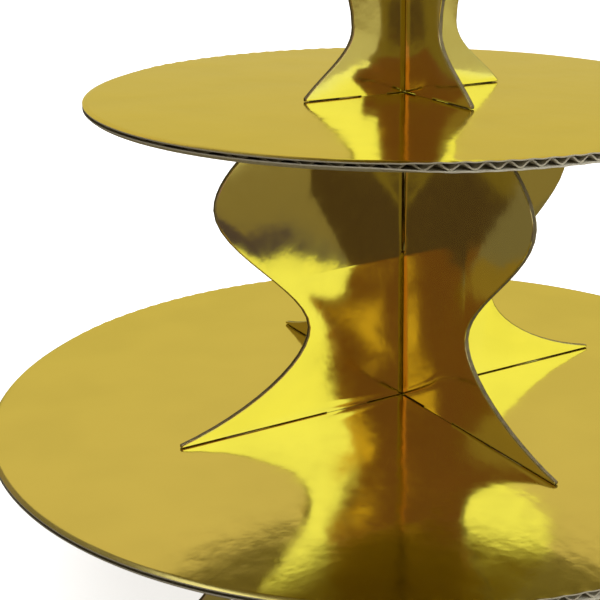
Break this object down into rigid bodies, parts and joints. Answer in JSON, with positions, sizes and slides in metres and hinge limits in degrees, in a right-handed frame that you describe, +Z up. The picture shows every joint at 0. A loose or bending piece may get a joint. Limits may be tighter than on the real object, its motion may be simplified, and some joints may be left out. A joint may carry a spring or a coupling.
{
  "type": "tiered cake stand",
  "caption": "Tiered cake stand that slots together from gold-foil board: round corrugated plates on crossed, curved-wing panel pillars, with a low crossed foot.",
  "frame": {"origin": "centre of the foot at floor level, on the stand's vertical axis", "axes": "+Z up along the pillars' axis; X along every panel a, Y along every panel b and along the plates' flutes"},
  "size_m": [0.3, 0.3, 0.2952],
  "materials": {
    "gold_foil_board": "gloss",
    "gold_foil_paper": "gloss",
    "fluted_paper": "matte",
    "white_back_paper": "matte"
  },
  "bodies": {
    "foot_a": {"foot_panel_a": "gold_foil_board"},
    "foot_b": {"foot_panel_b": "gold_foil_board"},
    "bottom_plate": {"bottom_plate_foil_face": "gold_foil_paper", "bottom_plate_fluted_core": "fluted_paper", "bottom_plate_back_liner": "white_back_paper"},
    "lower_pillar_a": {"lower_pillar_panel_a": "gold_foil_board"},
    "lower_pillar_b": {"lower_pillar_panel_b": "gold_foil_board"},
    "middle_plate": {"middle_plate_foil_face": "gold_foil_paper", "middle_plate_fluted_core": "fluted_paper", "middle_plate_back_liner": "white_back_paper"},
    "upper_pillar_a": {"upper_pillar_panel_a": "gold_foil_board"},
    "upper_pillar_b": {"upper_pillar_panel_b": "gold_foil_board"},
    "top_plate": {"top_plate_foil_face": "gold_foil_paper", "top_plate_fluted_core": "fluted_paper", "top_plate_back_liner": "white_back_paper"}
  },
  "joints": [
    {"name": "foot_b_lift", "type": "slide", "parent": "foot_a", "child": "foot_b", "axis": [0, 0, 1], "range_m": [0, 0.066]},
    {"name": "bottom_plate_lift", "type": "slide", "parent": "foot_b", "child": "bottom_plate", "axis": [0, 0, 1], "range_m": [0, 0.01]},
    {"name": "lower_pillar_a_lift", "type": "slide", "parent": "bottom_plate", "child": "lower_pillar_a", "axis": [0, 0, 1], "range_m": [0, 0.01]},
    {"name": "lower_pillar_b_lift", "type": "slide", "parent": "lower_pillar_a", "child": "lower_pillar_b", "axis": [0, 0, 1], "range_m": [0, 0.118]},
    {"name": "middle_plate_lift", "type": "slide", "parent": "lower_pillar_b", "child": "middle_plate", "axis": [0, 0, 1], "range_m": [0, 0.01]},
    {"name": "upper_pillar_a_lift", "type": "slide", "parent": "middle_plate", "child": "upper_pillar_a", "axis": [0, 0, 1], "range_m": [0, 0.01]},
    {"name": "upper_pillar_b_lift", "type": "slide", "parent": "upper_pillar_a", "child": "upper_pillar_b", "axis": [0, 0, 1], "range_m": [0, 0.118]},
    {"name": "top_plate_lift", "type": "slide", "parent": "upper_pillar_b", "child": "top_plate", "axis": [0, 0, 1], "range_m": [0, 0.01]}
  ]
}
